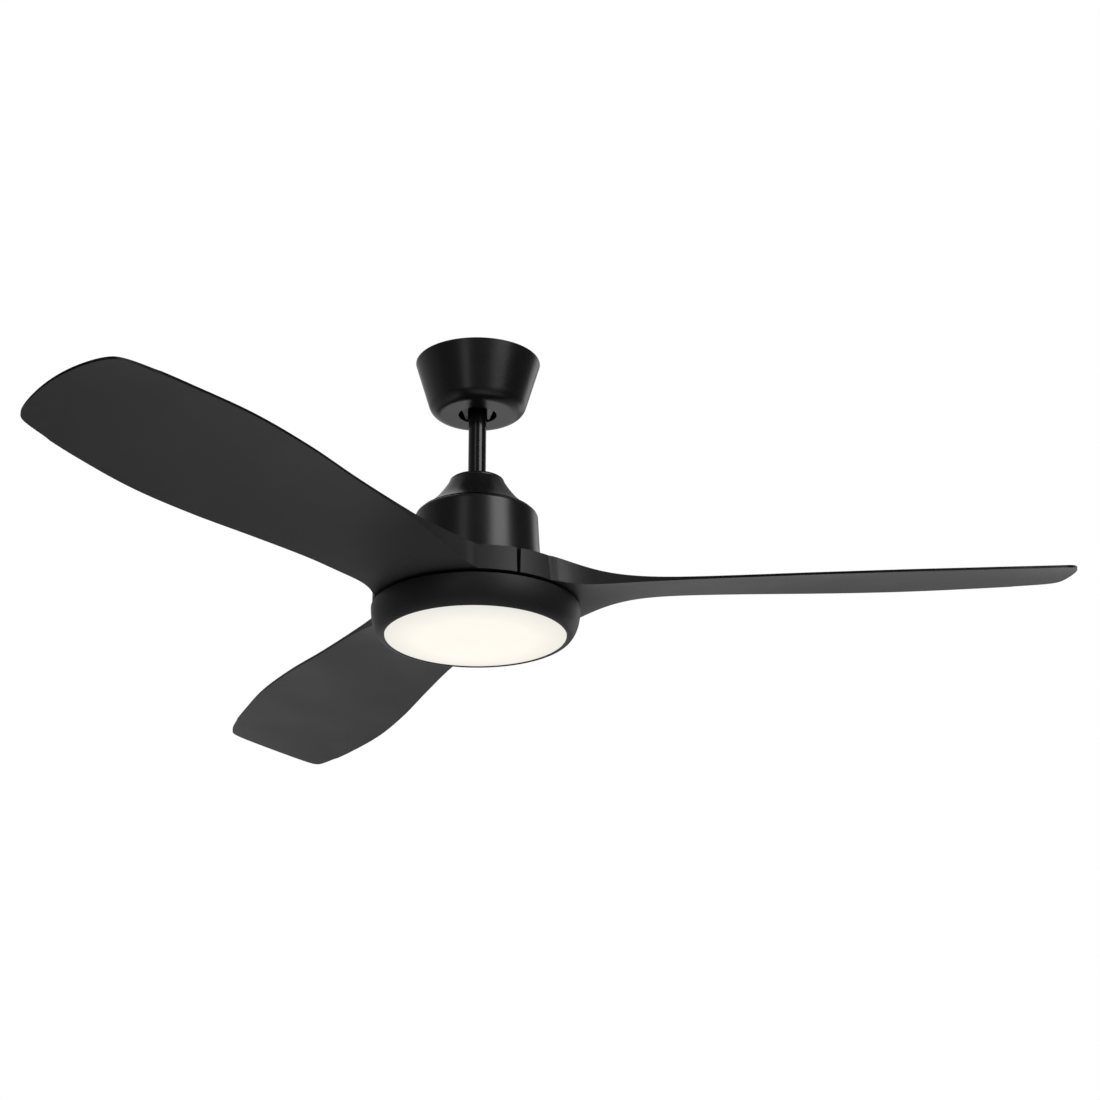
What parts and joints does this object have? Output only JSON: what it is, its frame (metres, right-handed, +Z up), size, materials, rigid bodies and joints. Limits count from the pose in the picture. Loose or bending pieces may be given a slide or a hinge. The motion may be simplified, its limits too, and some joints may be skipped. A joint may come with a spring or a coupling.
{
  "type": "ceiling fan with light",
  "caption": "Black ceiling fan on a short rod: tapered canopy, cylindrical motor housing, broad pitched blades that form the hub, and a round flat opal light below.",
  "frame": {"origin": "centre of the ceiling plate's upper face, on the ceiling", "axes": "+Z up into the ceiling along the fan's axis; X along the line of the two ceiling slots"},
  "size_m": [1.0727, 1.1596, 0.3314],
  "materials": {
    "black_paint": "satin black powder coat",
    "rod_black": "gloss black enamel",
    "blade_plastic": "matte black moulded plastic with a fine grain",
    "light_black": "matte black",
    "zinc_steel": "zinc plated",
    "bright_steel": "machined",
    "cast_alloy": "cast",
    "ball_black": "glass-filled nylon",
    "white_nylon": "natural nylon",
    "white_plastic": "moulded",
    "brass_screw": "plated brass",
    "earth_green": "green plated",
    "brown_wire": "PVC insulation",
    "blue_wire": "PVC insulation",
    "grey_cable": "PVC sheath",
    "lamination": "stacked electrical steel",
    "copper": "enamelled copper wire",
    "green_board": "solder mask",
    "magnet_black": "ferrite",
    "rubber_pad": "moulded",
    "board_white": "white aluminium board",
    "chip_yellow": "phosphor",
    "opal": "opal acrylic, lit"
  },
  "bodies": {
    "ceiling_mount": {"hanger_bracket": "zinc_steel", "canopy": "black_paint", "canopy_screws": "black_paint", "terminal_block": "white_nylon", "terminal_screws": "brass_screw", "earth_screw": "earth_green", "receiver_box": "white_plastic", "live_lead": "brown_wire", "neutral_lead": "blue_wire"},
    "ball_cushion": {"ball_liner": "white_nylon"},
    "hung_frame": {"hanger_ball": "ball_black", "ball_pin": "bright_steel", "ball_screw": "bright_steel", "downrod": "rod_black", "motor_lead": "grey_cable", "lead_plug": "white_plastic", "rod_coupler": "cast_alloy", "coupler_pin": "bright_steel", "pin_clip": "bright_steel", "coupler_screws": "bright_steel", "coupling_cover": "black_paint", "motor_housing": "black_paint", "housing_plate": "zinc_steel", "plate_screws": "bright_steel", "housing_screws": "bright_steel", "motor_shaft": "bright_steel", "stator_hub": "white_nylon", "stator_core": "lamination", "stator_coils": "copper", "motor_board": "green_board", "bearing_inner_races": "bright_steel", "light_ring": "light_black", "bayonet_clips": "zinc_steel", "light_plate": "zinc_steel", "lock_washer": "bright_steel", "shaft_nut": "bright_steel", "ring_screws": "bright_steel", "led_driver": "white_plastic", "driver_screws": "bright_steel", "light_lead": "grey_cable", "board_posts": "brass_screw", "led_board": "board_white", "led_chips": "chip_yellow", "board_screws": "bright_steel"},
    "rotor": {"rotor_case_top": "cast_alloy", "rotor_case_bottom": "cast_alloy", "case_screws": "bright_steel", "magnets": "magnet_black", "bearing_outer_races": "bright_steel", "bearing_balls": "bright_steel", "blade_carrier": "cast_alloy", "carrier_screws": "bright_steel", "blade_pads": "rubber_pad", "blade_1": "blade_plastic", "blade_2": "blade_plastic", "blade_3": "blade_plastic", "blade_screws": "bright_steel"},
    "light_cover": {"diffuser": "opal"}
  },
  "joints": [
    {"name": "ball_swing_x", "type": "hinge", "parent": "ceiling_mount", "child": "ball_cushion", "pos_m": [0, 0, -0.036], "axis": [1, 0, 0], "range_deg": [-12, 12]},
    {"name": "ball_swing_y", "type": "hinge", "parent": "ball_cushion", "child": "hung_frame", "pos_m": [0, 0, -0.036], "axis": [0, 1, 0], "range_deg": [-12, 12]},
    {"name": "fan_spin", "type": "hinge", "parent": "hung_frame", "child": "rotor", "pos_m": [0, 0, -0.23], "axis": [0, 0, 1], "continuous": true},
    {"name": "light_cover_twist", "type": "hinge", "parent": "hung_frame", "child": "light_cover", "pos_m": [0, 0, -0.321], "axis": [0, 0, 1], "range_deg": [0, 20]}
  ]
}
